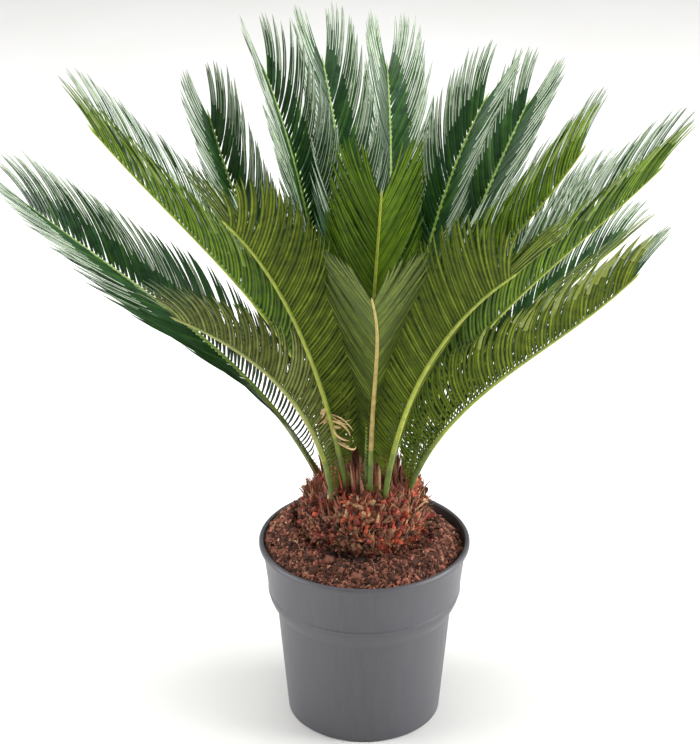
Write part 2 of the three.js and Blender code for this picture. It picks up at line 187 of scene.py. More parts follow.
# Their stalks are bare for longer: the share of the rib where the first leaflets grow.
BARE_FEET = {
    "frond_outer_01": 0.115,
    "frond_outer_02": 0.11,
    "frond_middle_01": 0.1,
    "frond_middle_02": 0.12,
}

# Fronds that reach out to the sides: their leaflets lie flat, with a painted sheen on the ends
# beneath.
SIDEWAYS = (
    "frond_outer_03",
    "frond_outer_04",
    "frond_outer_05",
    "frond_middle_03",
    "frond_middle_08",
)

# A frond with dried leaflet ends on its left side: between which shares of its rib.
DRIED = {"frond_outer_03": (0.3, 0.31)}
BUNCH_ON = "frond_middle_01"  # the one that carries a tangle of dried leaflets

# Every frond: its ring, the bearing that it grows at, its slope at the root, on its way and at the
# tip, its length, how far it turns aside, rolls and twists, and the tint of its underside.
FRONDS = [
    ("outer", 277, 98, 33, 37, 520, -12, 0, 0, "tan"),
    ("outer", 293, 79, 51, 36, 510, 3, -12, 0, "olive"),
    ("outer", 328, 76, 33, 50, 470, -13, 0, 0, "olive"),
    ("outer", 354, 92, 38, 49, 500, -1, 0, 0, "lime"),
    ("outer", 17, 68, 42, 31, 380, 5, 0, 0, "olive"),
    ("outer", 154, 61, 21, 25, 492, -5, -44, 50, "olive"),
    ("outer", 230, 83, 50, 32, 392, -11, 10, 0, "grey"),
    ("outer", 39, 72, 34, 24, 430, 0, 0, 0, "olive"),
    ("outer", 61, 75, 38, 20, 460, 0, 0, 0, "olive"),
    ("outer", 83, 74, 31, 22, 480, 4, 0, 0, "lime"),
    ("outer", 105, 76, 36, 24, 450, -2, 0, 0, "olive"),
    ("outer", 129, 72, 30, 18, 400, 3, 0, 0, "grey"),
    ("middle", 241, 74, 63, 39, 508, 3, 0, 0, "olive"),
    ("middle", 273, 85, 55, 54, 518, 0, 0, 0, "lime"),
    ("middle", 343, 103, 40, 61, 490, -1, 0, 0, "lime"),
    ("middle", 53, 60, 55, 46, 463, -2, 20, 0, "lime"),
    ("middle", 76, 74, 41, 42, 500, 19, 12, 0, "olive"),
    ("middle", 122, 73, 82, 54, 470, 8, 0, 0, "olive"),
    ("middle", 149, 73, 60, 73, 440, 1, -35, 0, "olive"),
    ("middle", 184, 92, 41, 53, 515, 0, 0, 0, "lime"),
    ("inner", 97, 86, 60, 43, 485, 8, 0, 0, "lime"),
    ("inner", 45, 70, 82, 42, 450, 5, 20, 0, "olive"),
]

PATH_STEPS = 60  # in which a midrib's path is added up
GOLDEN_ANGLE = 137.5

# ---------------------------------------------------------------- small helpers


def mix(low, high, share):
    return low + (high - low) * share


def unit(vectors):
    return vectors / np.linalg.norm(vectors, axis=-1, keepdims=True)


def on_circle(radius, bearing, height):
    """Points at a radius, a bearing in degrees and a height, as rows."""
    angle = np.radians(bearing)
    parts = np.broadcast_arrays(radius * np.cos(angle), radius * np.sin(angle), height)
    return np.stack(parts, axis=-1).astype(float)


def repeatable(seed):
    """The same stream of numbers from 0 to 1 as the trunk's solids are made with."""
    state = seed
    while True:
        state = (state * 1664525 + 1013904223) % 4294967296
        yield state / 4294967296


def srgb(colour):
    """A linear colour from a written one such as "#66656b"."""
    parts = [int(colour[i : i + 2], 16) / 255 for i in (1, 3, 5)]
    linear = [p / 12.92 if p <= 0.04045 else ((p + 0.055) / 1.055) ** 2.4 for p in parts]
    return (*linear, 1.0)


# ---------------------------------------------------------------- finishes


def add_node(material, kind, inputs, **settings):
    """Adds a node. An input takes a value, or (node, output name) for a link."""
    tree = material.node_tree
    made = tree.nodes.new(kind)
    for name, value in settings.items():
        setattr(made, name, value)
    for name, value in inputs.items():
        if isinstance(value, tuple) and isinstance(value[0], bpy.types.Node):
            tree.links.new(value[0].outputs[value[1]], made.inputs[name])
        else:
            made.inputs[name].default_value = value
    return made


def grained(name, dark, light, grain, roughness, bump, stretch=(1, 1, 1), **shader):
    """A finish whose colour and gloss vary with a grain of that size in mm, over a relief of bump
    mm. roughness is (lowest, highest), and stretch draws the grain out along each axis."""
    material = bpy.data.materials.new(name)
    material.use_nodes = True
    material.node_tree.nodes.clear()
    place = add_node(material, "ShaderNodeTexCoord", {})
    drawn_out = [1000 / (grain * factor) for factor in stretch]
    spread = add_node(
        material, "ShaderNodeMapping", {"Vector": (place, "Object"), "Scale": drawn_out}
    )
    noise = add_node(
        material,
        "ShaderNodeTexNoise",
        {"Vector": (spread, "Vector"), "Scale": 1.0, "Detail": 4.0, "Roughness": 0.6},
    )
    colour = add_node(material, "ShaderNodeValToRGB", {"Fac": (noise, "Fac")})
    colour.color_ramp.elements[0].position = 0.34
    colour.color_ramp.elements[1].position = 0.66
    colour.color_ramp.elements[0].color = srgb(dark)
    colour.color_ramp.elements[1].color = srgb(light)
    gloss = add_node(
        material,
        "ShaderNodeMapRange",
        {
            "Value": (noise, "Fac"),
            "From Min": 0.3,
            "From Max": 0.7,
            "To Min": roughness[0],
            "To Max": roughness[1],
        },
    )
    relief = add_node(
        material,
        "ShaderNodeBump",
        {"Height": (noise, "Fac"), "Distance": bump * MM, "Strength": 1.0},
    )
    surface = add_node(
        material,
        "ShaderNodeBsdfPrincipled",
        {
            "Base Color": (colour, "Color"),
            "Roughness": (gloss, "Result"),
            "Normal": (relief, "Normal"),
            **shader,
        },
    )
    add_node(material, "ShaderNodeOutputMaterial", {"Surface": (surface, "BSDF")})
    return material


# Waxy upper skin of a leaflet: a deep green with a soft gloss, in patches the size of a leaflet's
# width. Its end, which arches over into the light, has a painted grey-green sheen, and its ridge a
# pale streak: a paler midrib with a painted highlight on it.
waxy = {"IOR": 1.45, "Coat Weight": 0.2, "Coat Roughness": 0.16}
UPPER = [
    grained("leaf wax, deep green", "#0f300e", "#1c4614", 14, (0.32, 0.42), 0.1, **waxy),
    grained("leaf wax, blue green", "#16381a", "#285028", 14, (0.3, 0.4), 0.1, **waxy),
    grained("leaf wax, mid green", "#1e440c", "#345e18", 14, (0.32, 0.42), 0.1, **waxy),
    # Painted sheen: this grey green stands for light caught on the leaflets' ends.
    grained("leaf wax, painted grey-green sheen", "#586c50", "#7a8c70", 14, (0.3, 0.4), 0.1, **waxy),
]
# A paler midrib on the ridge, lightened further as a painted highlight.
MIDRIB_SHEEN_FINISH = grained("leaf midrib, pale with painted highlight", "#9aa892", "#c0c8b6", 14, (0.3, 0.4), 0.1, **waxy)

# Dull underside of a leaflet: paler and yellower than its top, between dark rolled margins that
# are partly painted shade between the leaflets. Each tint has a copy darkened as painted shade
# and a paler copy as a painted sheen.
dull = {"Specular IOR Level": 0.1}
UNDER = {
    tint: [
        grained(f"leaf underside, {tint}", dark, light, 14, (0.5, 0.6), 0.1, **dull),
        # A darkened copy: painted shade.
        grained(f"leaf underside in painted shade, {tint}", deep, dark, 14, (0.5, 0.6), 0.1, **dull),
        # A rolled margin: darker green, partly painted shade between the leaflets.
        grained(f"leaf margin and painted shade, {tint}", rim, deep, 14, (0.5, 0.6), 0.1, **dull),
        # A paler copy: a painted sheen for the ends beneath.
        grained(f"leaf underside in painted sheen, {tint}", light, pale, 14, (0.5, 0.6), 0.1, **dull),
    ]
    for tint, rim, deep, dark, light, pale in (
        ("olive", "#2c3a0a", "#4a5c0e", "#627216", "#84942c", "#969e6a"),
        ("lime", "#263a06", "#405c08", "#54700c", "#708e1a", "#84925a"),
        ("grey", "#343c18", "#565e22", "#6e7838", "#909a58", "#9ca27a"),
        ("tan", "#26330c", "#3e4e10", "#54641a", "#75842e", "#8c9462"),
    )
}

# Dried leaflet: papery straw, without gloss.
DEAD_LEAF = grained("dried leaflet", "#b08c5a", "#e2c690", 9, (0.6, 0.75), 0.2)

# The finish numbers of a leaflet, after the first three greens of its top.
SHEEN_GREY_GREEN, MIDRIB_SHEEN, DRY, BELOW, SHADED_BELOW, MARGIN_AND_SHADE, SHEEN_BELOW = range(3, 10)

# Smooth skin of a rib: green on top and yellow beneath, a darker green down the stalk, and matt
# brown cork at its foot.
RIB_TOP = grained("rib skin, green", "#6c8a30", "#88a444", 9, (0.4, 0.5), 0.1)
RIB_UNDER = {
    tint: grained(f"rib skin, {tint}", dark, light, 9, (0.4, 0.5), 0.1)
    for tint, dark, light in (
        ("olive", "#8a961e", "#aeb638"),
        ("lime", "#96a418", "#b8c034"),
        ("grey", "#94924a", "#b2ae62"),
        ("tan", "#a08c48", "#c6b06a"),
    )
}
STALKS = [
    grained("stalk skin, yellow green", "#7e8c24", "#9aa23a", 9, (0.4, 0.5), 0.1),
    grained("stalk skin, leaf green", "#627620", "#7e8e30", 9, (0.4, 0.5), 0.1),
    grained("stalk skin, green", "#4a5e1a", "#667826", 9, (0.4, 0.52), 0.1),
    grained("stalk skin, olive", "#544c20", "#70682e", 9, (0.45, 0.55), 0.1),
    grained("stalk base, cork", "#4e3522", "#80603c", 5, (0.7, 0.85), 0.4),
]
# The share of the rib below which each of them shows. A tan rib has no yellow green.
STALK_ENDS = {"tan": (0.0, 0.17, 0.12, 0.07, 0.045)}
USUAL_ENDS = (0.24, 0.19, 0.14, 0.07, 0.045)
SPINE_GREEN = 4  # the finish number of the third of them on a rib

# Dried leaf bases of the trunk: matt, woody, in the reds and browns of old sap and cork.
BARK = [
    grained("leaf base, maroon", "#702a24", "#a65042", 3, (0.6, 0.8), 0.8),
    grained("leaf base, brown", "#664230", "#a47454", 3, (0.7, 0.9), 0.8),
    grained("leaf base, rust", "#9a3222", "#d66a46", 3, (0.55, 0.75), 0.8),
    grained("leaf base, umber", "#2e1c15", "#583a2c", 3, (0.8, 0.95), 0.8),
    grained("leaf base, straw", "#a87e56", "#d8b286", 3, (0.6, 0.75), 0.4),
]
MAROON, BROWN, RUST, UMBER, STRAW = range(5)

# Wool between the stalks: soft, brown and quite matt.
WOOL = grained("trunk wool", "#74482c", "#ac7a4e", 3, (0.8, 0.95), 0.2)

# Peat and coir compost: dull, dark crumbs with redder chips of bark.
PEAT = grained("peat", "#24140d", "#4a2d20", 3, (0.85, 1.0), 1.2)
CRUMBS = [
    grained("peat crumb, dark", "#321b13", "#583426", 2, (0.85, 1.0), 0.5),
    grained("peat crumb, brown", "#683e2f", "#945f4a", 2, (0.8, 1.0), 0.5),
    grained("bark chip, red", "#8a4a3a", "#b8745c", 2, (0.7, 0.9), 0.5),
    grained("bark chip, pale", "#a87c5e", "#d0a684", 2, (0.7, 0.9), 0.5),
    # Painted shade: near-black crumbs for the hollow at the trunk's foot.
    grained("peat crumb, painted shade", "#160c08", "#301c14", 2, (0.8, 0.95), 0.5),
]
# The finish number of the painted shade in the hollow.
HOLLOW_SHADE = 4

# Injection-moulded polypropylene: satin grey, its colour faintly streaked down the wall.
POT_PLASTIC = grained(
    "moulded polypropylene, grey", "#504f55", "#56555a", 5, (0.38, 0.48), 0.03, (1, 1, 12)
)

# ---------------------------------------------------------------- shaping by hand


def deselect():
    if bpy.context.mode != "OBJECT":
        bpy.ops.object.mode_set(mode="OBJECT")
    bpy.ops.object.select_all(action="DESELECT")


def edit():
    bpy.ops.object.mode_set(mode="EDIT")


def pick(piece, test, part="verts"):
    """In edit mode, selects the corners, edges or faces that pass the test."""
    bpy.ops.mesh.select_mode(type=part[:-1].upper())
    mesh = bmesh.from_edit_mesh(piece.data)
    for group in (mesh.verts, mesh.edges, mesh.faces):
        for item in group:
            item.select = False
    for item in getattr(mesh, part):
        if test(item):
            item.select_set(True)
    mesh.select_flush_mode()
    bmesh.update_edit_mesh(piece.data)


def apply_modifier(piece, kind, **settings):
    modifier = piece.modifiers.new(kind.lower(), kind)
    for name, value in settings.items():
        setattr(modifier, name, value)
    bpy.context.view_layer.objects.active = piece
    bpy.ops.object.modifier_apply(modifier=modifier.name)


def set_order(piece):
    """Puts the edges and faces in the order of their corners, which a spin leaves to chance. What
    is cut and bevelled afterwards then comes out the same in every run."""
    mesh = bmesh.from_edit_mesh(piece.data)
    mesh.verts.index_update()
    count = len(mesh.verts)

    def place(item):
        first, second, third = (sorted(corner.index for corner in item.verts) + [0])[:3]
        return (first * count + second) * count + third

    for group in (mesh.edges, mesh.faces):
        group.sort(key=place)
        group.index_update()
    bmesh.update_edit_mesh(piece.data)


def turned(name, profile, steps):
    """A body of revolution: its profile is drawn by extruding a point, and spun round +Z."""
    deselect()
    bpy.ops.mesh.primitive_plane_add(size=0.001)
    piece = bpy.context.object
    piece.name = piece.data.name = name
    edit()
    bpy.ops.mesh.merge(type="CENTER")
    here = Vector((0, 0, 0))
    bpy.ops.mesh.select_all(action="SELECT")
    first = Vector((profile[0][0] * MM, 0, profile[0][1] * MM))
    bpy.ops.transform.translate(value=first - here)
    here = first
    for radius, height in profile[1:]:
        there = Vector((radius * MM, 0, height * MM))
        bpy.ops.mesh.extrude_region_move(TRANSFORM_OT_translate={"value": there - here})
        here = there
    bpy.ops.mesh.select_all(action="SELECT")
    bpy.ops.mesh.spin(steps=steps, angle=2 * math.pi, center=(0, 0, 0), axis=(0, 0, 1))
    bpy.ops.mesh.select_all(action="SELECT")
    bpy.ops.mesh.remove_doubles(threshold=1e-5)
    bpy.ops.mesh.normals_make_consistent(inside=False)
    set_order(piece)
    deselect()
    return piece


def rod(sides, cuts):
    """A rod 1 long and 1 thick along +X, cut across into equal lengths, left in edit mode."""
    deselect()
    bpy.ops.mesh.primitive_cylinder_add(
        vertices=sides, radius=0.5, depth=1, location=(0.5, 0, 0), rotation=(0, math.pi / 2, 0)
    )
    piece = bpy.context.object
    bpy.ops.object.transform_apply(location=True, rotation=True, scale=True)
    edit()
    pick(piece, lambda e: abs(e.verts[0].co.x - e.verts[1].co.x) > 0.5, "edges")
    bpy.ops.mesh.subdivide(number_cuts=cuts)
    bpy.ops.mesh.select_mode(type="VERT")
    return piece


def squeeze(piece, widths, thickness=None):
    """Scales the rings of a rod, from its root to its tip, to those widths. A flat one has its own
    thickness, which wanes less than its width."""
    for i, width in enumerate(widths):
        place = i / (len(widths) - 1)
        pick(piece, lambda v: abs(v.co.x - place) < 1e-3)
        high = thickness * math.sqrt(width) if thickness else width
        bpy.ops.transform.resize(value=(1, width, high), center_override=(place, 0, 0))


class Shape:
    """The corners, triangles and upward triangles of a small modelled piece."""

    def __init__(self, piece):
        if bpy.context.mode != "EDIT_MESH":
            edit()
        bpy.ops.mesh.select_all(action="SELECT")
        bpy.ops.mesh.quads_convert_to_tris()
        deselect()
        mesh = piece.data
        self.points = np.array([v.co[:] for v in mesh.vertices])
        self.triangles = np.array([p.vertices[:] for p in mesh.polygons])
        self.is_upper = np.array([p.normal.z > 0.05 for p in mesh.polygons])
        self.middle = self.points[self.triangles].mean(axis=1)
        bpy.data.objects.remove(piece)


def model_leaflet():
    """A stiff blade that keeps its width almost to its sharp tip, with a flat ridge above. Its
    margins roll under, so that its underside is a pale strip between two darker rims, whose colour
    is partly painted shade between the leaflets."""
    piece = rod(6, 7)
    pick(piece, lambda v: v.co.z > 0.2)
    bpy.ops.transform.resize(value=(1, 0.45, 1), center_override=(0, 0, 0))
    pick(piece, lambda v: v.co.z < -0.2)
    bpy.ops.transform.resize(value=(1, 0.88, 1), center_override=(0, 0, 0))
    widths = [0.6, 1.0, 1.0, 0.98, 0.94, 0.87, 0.77, 0.56, 0.05]
    squeeze(piece, widths, thickness=0.26)
    leaflet = Shape(piece)
    reach = np.interp(leaflet.middle[:, 0], np.linspace(0, 1, len(widths)), widths)
    aside = abs(leaflet.middle[:, 1]) / reach
    # The margins take a darker finish, which is partly painted shade between the leaflets.
    leaflet.is_margin = ~leaflet.is_upper & (aside > 0.22)
    leaflet.is_ridge = leaflet.is_upper & (aside < 0.1)
    return leaflet


def model_spike():
    """A three-sided thorn or dried fibre, thickest near its root."""
    piece = rod(3, 3)
    squeeze(piece, [0.8, 1.0, 0.7, 0.4, 0.06])
    return Shape(piece)


def model_rib(cuts):
    """A rib with a flat back and a rounded keel, 1 long, drawn to a point at its end."""
    piece = rod(8, cuts)
    pick(piece, lambda v: v.co.z > 0.3)
    bpy.ops.transform.resize(value=(1, 1.25, 0.6), center_override=(0.5, 0, 0.5))
    pick(piece, lambda v: v.co.x > 0.999)
    bpy.ops.transform.resize(value=(1, 0.08, 0.08), center_override=(1, 0, 0.2))
    return Shape(piece)


def model_leaf_base():
    """A chunky dried leaf base: broad at its root, thinner and narrower at its broken tip."""
    deselect()
    bpy.ops.mesh.primitive_cube_add(size=1, location=(0.5, 0, 0))
    piece = bpy.context.object
    bpy.ops.object.transform_apply(location=True)
    edit()
    bpy.ops.mesh.select_all(action="SELECT")
    bpy.ops.mesh.subdivide(number_cuts=2)
    pick(piece, lambda v: v.co.x > 0.6)
    bpy.ops.transform.resize(value=(1, 0.8, 0.75), center_override=(1, 0, 0))
    pick(piece, lambda v: v.co.x > 0.9)
    bpy.ops.transform.resize(value=(1, 0.7, 0.6), center_override=(1, 0, 0))
    pick(piece, lambda v: abs(v.co.y) < 0.2 and v.co.z > 0.2)
    bpy.ops.transform.translate(value=(0, 0, 0.12))
    pick(piece, lambda v: v.co.x > 0.9 and abs(v.co.y) < 0.2)
    bpy.ops.transform.translate(value=(0.16, 0, 0))
    return Shape(piece)


def model_crumb(flatness):
    """An angular crumb or chip, 1 across."""
    deselect()
    bpy.ops.mesh.primitive_cube_add(size=0.8)
    piece = bpy.context.object
    edit()
    pick(piece, lambda v: v.co.z > 0)
    bpy.ops.transform.resize(value=(0.7, 0.55, 1), center_override=(0.1, 0, 0.4))
    bpy.ops.mesh.select_all(action="SELECT")
    bpy.ops.transform.resize(value=(1.2, 0.9, flatness), center_override=(0, 0, 0))
    return Shape(piece)


def model_lump():
    """A rounded lump, 1 across, of a few dozen faces."""
    deselect()
    bpy.ops.mesh.primitive_ico_sphere_add(subdivisions=2, radius=0.5)
    piece = bpy.context.object
    edit()
    pick(piece, lambda v: v.co.x > 0.1 and v.co.y > 0)
    bpy.ops.transform.resize(value=(0.75, 1.2, 0.8), center_override=(0, 0, 0))
    pick(piece, lambda v: v.co.z > 0.2)
    bpy.ops.transform.resize(value=(1.25, 0.8, 0.7), center_override=(0.1, 0, 0.2))
    return Shape(piece)


def model_scale():
    """A thin pointed bud scale, hollowed on its inner side like half a pod."""
    piece = rod(6, 4)
    squeeze(piece, [0.7, 1.0, 0.95, 0.65, 0.35, 0.04])
    pick(piece, lambda v: v.co.z < -0.1 and abs(v.co.y) < 0.3)
    bpy.ops.transform.resize(value=(1, 1, 0.2), center_override=(0, 0, 0.2))
    return Shape(piece)


# ---------------------------------------------------------------- joined meshes


def join(name, parts, finishes, angle=None):
    """One piece from parts of (corners in mm, triangles, finish numbers)."""
    corners, triangles, numbers, start = [], [], [], 0
    for part_corners, part_triangles, part_numbers in parts:
        corners.append(part_corners)
        triangles.append(part_triangles + start)
        numbers.append(part_numbers)
        start += len(part_corners)
    mesh = bpy.data.meshes.new(name)
    mesh.from_pydata(np.concatenate(corners) * MM, [], np.concatenate(triangles))
    for finish in finishes:
        mesh.materials.append(finish)
    mesh.polygons.foreach_set("material_index", np.concatenate(numbers).astype(np.int32))
    mesh.update()
    piece = bpy.data.objects.new(name, mesh)
    bpy.context.scene.collection.objects.link(piece)
    if angle:
        deselect()
        piece.select_set(True)
        bpy.context.view_layer.objects.active = piece
        bpy.ops.object.shade_smooth_by_angle(angle=math.radians(angle))
    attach(piece, "root")
    return piece


def sizes_between(rng, count, *ranges):
    """Sizes in mm along a shape's three axes, each between a smallest and a largest."""
    return np.stack([rng.uniform(small, large, count) for small, large in ranges], axis=-1)


def set_out(shape, places, forward, up, sizes, numbers):
    """Stiff copies of a shape: at places, pointing forward, with their tops towards up."""
    forward = unit(forward)
    across = unit(np.cross(up, forward))
    top = np.cross(forward, across)
    scaled = shape.points[None] * sizes[:, None, :]
    corners = places[:, None] + scaled[..., :1] * forward[:, None]
    corners = corners + scaled[..., 1:2] * across[:, None] + scaled[..., 2:3] * top[:, None]
    return several(shape, corners, numbers)


def lay_along(shape, starts, bends, ends, up, widths, depths, tilt, numbers):
    """Copies of a shape bent along curves from start over bend to end."""
    t = shape.points[None, :, :1]
    starts, bends, ends = (points[:, None] for points in (starts, bends, ends))
    centre = (1 - t) ** 2 * starts + 2 * t * (1 - t) * bends + t**2 * ends
    course = unit((1 - t) * (bends - starts) + t * (ends - bends))
    across = unit(np.cross(np.broadcast_to(up[:, None], course.shape), course))
    top = np.cross(course, across)
    turn = tilt[:, None, None]
    across, top = (
        across * np.cos(turn) + top * np.sin(turn),
        top * np.cos(turn) - across * np.sin(turn),
    )
    wide = shape.points[None, :, 1:2] * widths[:, None, None]
    deep = shape.points[None, :, 2:3] * depths[:, None, None]
    return several(shape, centre + wide * across + deep * top, numbers)


def several(shape, corners, numbers):
    """Flattens copies of a shape. numbers holds a finish number for each copy and triangle."""
    copies, count = corners.shape[:2]
    shift = np.arange(copies)[:, None, None] * count
    triangles = (shape.triangles[None] + shift).reshape(-1, 3)
    numbers = np.broadcast_to(numbers, (copies, len(shape.triangles))).reshape(-1)
    return corners.reshape(-1, 3), triangles, numbers


# ---------------------------------------------------------------- fronds


class Midrib:
    """The path of a frond's rib and its own directions: along, to its left and out of its face."""

    def __init__(self, ring, bearing, rise, lean, tip, length, turn, roll, twist):
        self.shares = np.linspace(0, 1, PATH_STEPS + 1)
        early = (rise - lean) * (1 - self.shares) ** STALK["settling"]
        slope = np.radians(lean + early + (tip - lean) * self.shares**2)
        heading = bearing + turn * self.shares
        self.along = on_circle(np.cos(slope), heading, np.sin(slope))
        level = on_circle(1, heading + 90, 0)
        rolled = roll * np.minimum(self.shares / STALK["roll_end"], 1) + twist * self.shares**3
        rolled = np.radians(rolled)[:, None]
        self.left = level * np.cos(rolled) + np.cross(self.along, level) * np.sin(rolled)
        self.face = np.cross(self.along, self.left)
        steps = self.along[:-1] * (length / PATH_STEPS)
        radius, height = RING[ring]
        start = on_circle(radius, bearing, height)
        self.points = start + np.concatenate([np.zeros((1, 3)), np.cumsum(steps, axis=0)])
        self.length = length

    def at(self, shares):
        """Points, and directions along, left and out of the face, at shares of the length."""
        rows = []
        for values in (self.points, self.along, self.left, self.face):
            rows.append(
                np.stack([np.interp(shares, self.shares, values[:, i]) for i in range(3)], axis=-1)
            )
        beyond = np.maximum(shares - 1, 0)[:, None] * self.length
        rows[0] = rows[0] + rows[1] * beyond
        return rows


def rib_width(share):
    return mix(STALK["base_width"], STALK["tip_width"], np.minimum(share, 1) ** STALK["taper"])


def rib_depth(share):
    return mix(STALK["base_depth"], STALK["tip_depth"], np.minimum(share, 1) ** STALK["taper"])


def leaflet_reach(length, leafy):
    growing = np.sin(np.minimum(leafy / LEAFLET["full_from"], 1) * (math.pi / 2))
    past = np.maximum((leafy - LEAFLET["full_from"]) / (1 - LEAFLET["full_from"]), 0)
    shrinking = 1 - LEAFLET["wane_by"] * past ** LEAFLET["wane_power"]
    stature = min(length / LEAFLET["full_stature"], 1)
    return LEAFLET["longest"] * stature * mix(LEAFLET["low_length"], 1, growing) * shrinking


def beside_rib(shares, point, left, face, side):
    """Where leaflets and spines sit on one side of the rib, a little under its face."""
    aside = (rib_width(shares) * STALK["leaflet_seat"])[:, None]
    return point + side * left * aside - face * STALK["leaflet_sink"]


def leaflet_finishes(leaflet, leafy, side, is_dry, is_sideways, rng):
    """Finish numbers: tops are green, with a painted grey-green sheen at the ends and pale ridges
    under a painted highlight. Undersides are darkened with painted shade near the trunk and on the
    right-hand row, their margins are partly painted shade, and sideways fronds have a painted
    sheen at the ends beneath."""
    pairs = len(leafy)
    leafy = leafy[:, None]
    reached = leaflet.middle[:, 0]
    shade = rng.choice(3, pairs, p=[0.45, 0.35, 0.2])[:, None]
    # Painted sheen: grey-green ends on the tops far along the frond.
    is_far = leafy > rng.uniform(0.3, 0.9, (pairs, 1))
    is_painted_sheen = is_far & (reached > rng.uniform(0.35, 0.85, (pairs, 1)))
    # Ridge streaks: a paler midrib, partly a painted highlight.
    is_midrib_sheen = (leafy > 0.4) & leaflet.is_ridge & (reached > 0.35)
    numbers = np.where(is_painted_sheen, SHEEN_GREY_GREEN, shade)
    numbers = np.where(is_midrib_sheen, MIDRIB_SHEEN, numbers)
    # Painted shade on the undersides: most near the trunk and on each frond's right-hand row.
    shaded = mix(0.9, 0.35, np.minimum(2 * leafy, 1)) + 0.15 * (side < 0)
    below = np.where(rng.uniform(0, 1, (pairs, 1)) < shaded, SHADED_BELOW, BELOW)
    numbers = np.where(leaflet.is_upper, numbers, below)
    # Rolled margins: darker, partly painted shade between the leaflets.
    numbers = np.where(leaflet.is_margin, MARGIN_AND_SHADE, numbers)
    # Sideways fronds: a painted sheen on the ends beneath.
    numbers = np.where(is_painted_sheen & ~leaflet.is_upper & is_sideways, SHEEN_BELOW, numbers)
    return np.where(is_dry[:, None] & (reached > 0.4), DRY, numbers)


def leaflets_of(node, midrib, leaflet, rng):
    """Both rows of leaflets: they fold up out of the frond's face and sweep towards its tip. The
    first ones are short and run down the stalk, below those that the solids have."""
    is_sideways = node in SIDEWAYS
    blade_turn = LEAFLET["side_turn" if is_sideways else "blade_turn"]
    high_sweep = WIDE_SWEEP.get(node, LEAFLET["high_sweep"])
    dry_from, dry_to = DRIED.get(node, (0, 0))
    first = BARE_FEET.get(node, STALK["first_share"])
    bare, last = STALK["bare_share"], STALK["leafy_end"]
    pairs = round(midrib.length * (last - first) / LEAFLET["spacing"])
    parts = []
    for side in (1, -1):
        place = (np.arange(pairs) + 0.5 + rng.uniform(-0.15, 0.15, pairs)) / pairs
        place = place * (1 + LEAFLET["spreading"] * place) / (1 + LEAFLET["spreading"])
        shares = mix(first, last, place)
        leafy = np.maximum((shares - bare) / (last - bare), 0)
        grown = np.minimum((shares - first) / (bare - first), 1)
        is_dry = (shares > dry_from) & (shares < dry_to) & (side > 0)
        point, along, left, face = midrib.at(shares)

        # Directions: each leaflet sweeps forward from the rib's side and is raised out of its face.
        stray = rng.normal(0, 1, (4, pairs))
        closing = np.clip((leafy - LEAFLET["closing_from"]) / (1 - LEAFLET["closing_from"]), 0, 1)
        sweep = mix(LEAFLET["low_sweep"], high_sweep, leafy ** LEAFLET["sweep_power"])
        sweep = sweep * mix(1, LEAFLET["closed_sweep"], closing) + LEAFLET["stray"] * stray[0]
        raising = mix(LEAFLET["low_raise"], LEAFLET["high_raise"], leafy)
        raising = raising + LEAFLET["stray"] * stray[1]
        sweep = sweep + is_dry * LEAFLET["dry_stray"] * stray[1]
        raising = raising + is_dry * LEAFLET["dry_stray"] * stray[0]

        def aim(sweep, raising):
            a, b = np.radians(sweep)[:, None], np.radians(raising)[:, None]
            outward = side * np.cos(b) * left + np.sin(b) * face
            return np.cos(a) * along + np.sin(a) * outward

        # Curves: each leaflet starts at the rib, and arches over on its way to its tip.
        reach = leaflet_reach(midrib.length, leafy) * (1 + LEAFLET["unevenness"] * stray[2])
        reach = reach * mix(LEAFLET["shortest"], 1, grown)
        starts = beside_rib(shares, point, left, face, side)
        ends = point + aim(sweep, raising) * reach[:, None]
        arch = mix(LEAFLET["low_arch"], LEAFLET["high_arch"], leafy)
        bends = starts + aim(sweep + arch, raising + LEAFLET["arch_raise"]) * (reach * 0.5)[:, None]
        b = np.radians(raising)[:, None]
        up = np.cos(b) * face - side * np.sin(b) * left

        widths = [LEAFLET["low_width"], LEAFLET["full_width"], LEAFLET["high_width"]]
        width = np.interp(leafy, [0, LEAFLET["widest_at"], 1], widths)
        width = width * mix(LEAFLET["slimmest"], 1, grown)
        tilt = np.radians(blade_turn * side + LEAFLET["turn_stray"] * stray[3])
        numbers = leaflet_finishes(leaflet, leafy, side, is_dry, is_sideways, rng)
        parts.append(lay_along(leaflet, starts, bends, ends, up, width, width, -tilt, numbers))
    return parts


def dried_bunch(midrib, leaflet, rng):
    """Dried leaflets: most droop to one side of the rib, and the rest curl up beyond it."""
    count = COUNT["dried_leaflets"]
    side = np.where(np.arange(count) < COUNT["drooping_leaflets"], -1, 1)[:, None]

    def by_side(drooping, curling):
        one, other = (rng.uniform(*ends, (count, 1)) for ends in (drooping, curling))
        return np.where(side < 0, one, other)

    point, along, left, face = midrib.at(by_side((0.21, 0.31), (0.17, 0.27))[:, 0])
    droop = by_side((0.7, 1.7), (-0.6, 0.7))
    aims = unit(side * left - droop * along - rng.uniform(0.1, 0.5, (count, 1)) * face)
    reach = rng.uniform(12, 32, (count, 1))
    starts = point + side * left * rng.uniform(1, 5, (count, 1)) - 3 * face
    ends = starts + aims * reach
    bends = (starts + ends) / 2 + rng.normal(0, 0.2, (count, 3)) * reach
    widths = rng.uniform(2.0, 3.8, count)
    tilt = rng.normal(0, 0.6, count)
    return lay_along(leaflet, starts, bends, ends, face, widths, widths, tilt, DRY)


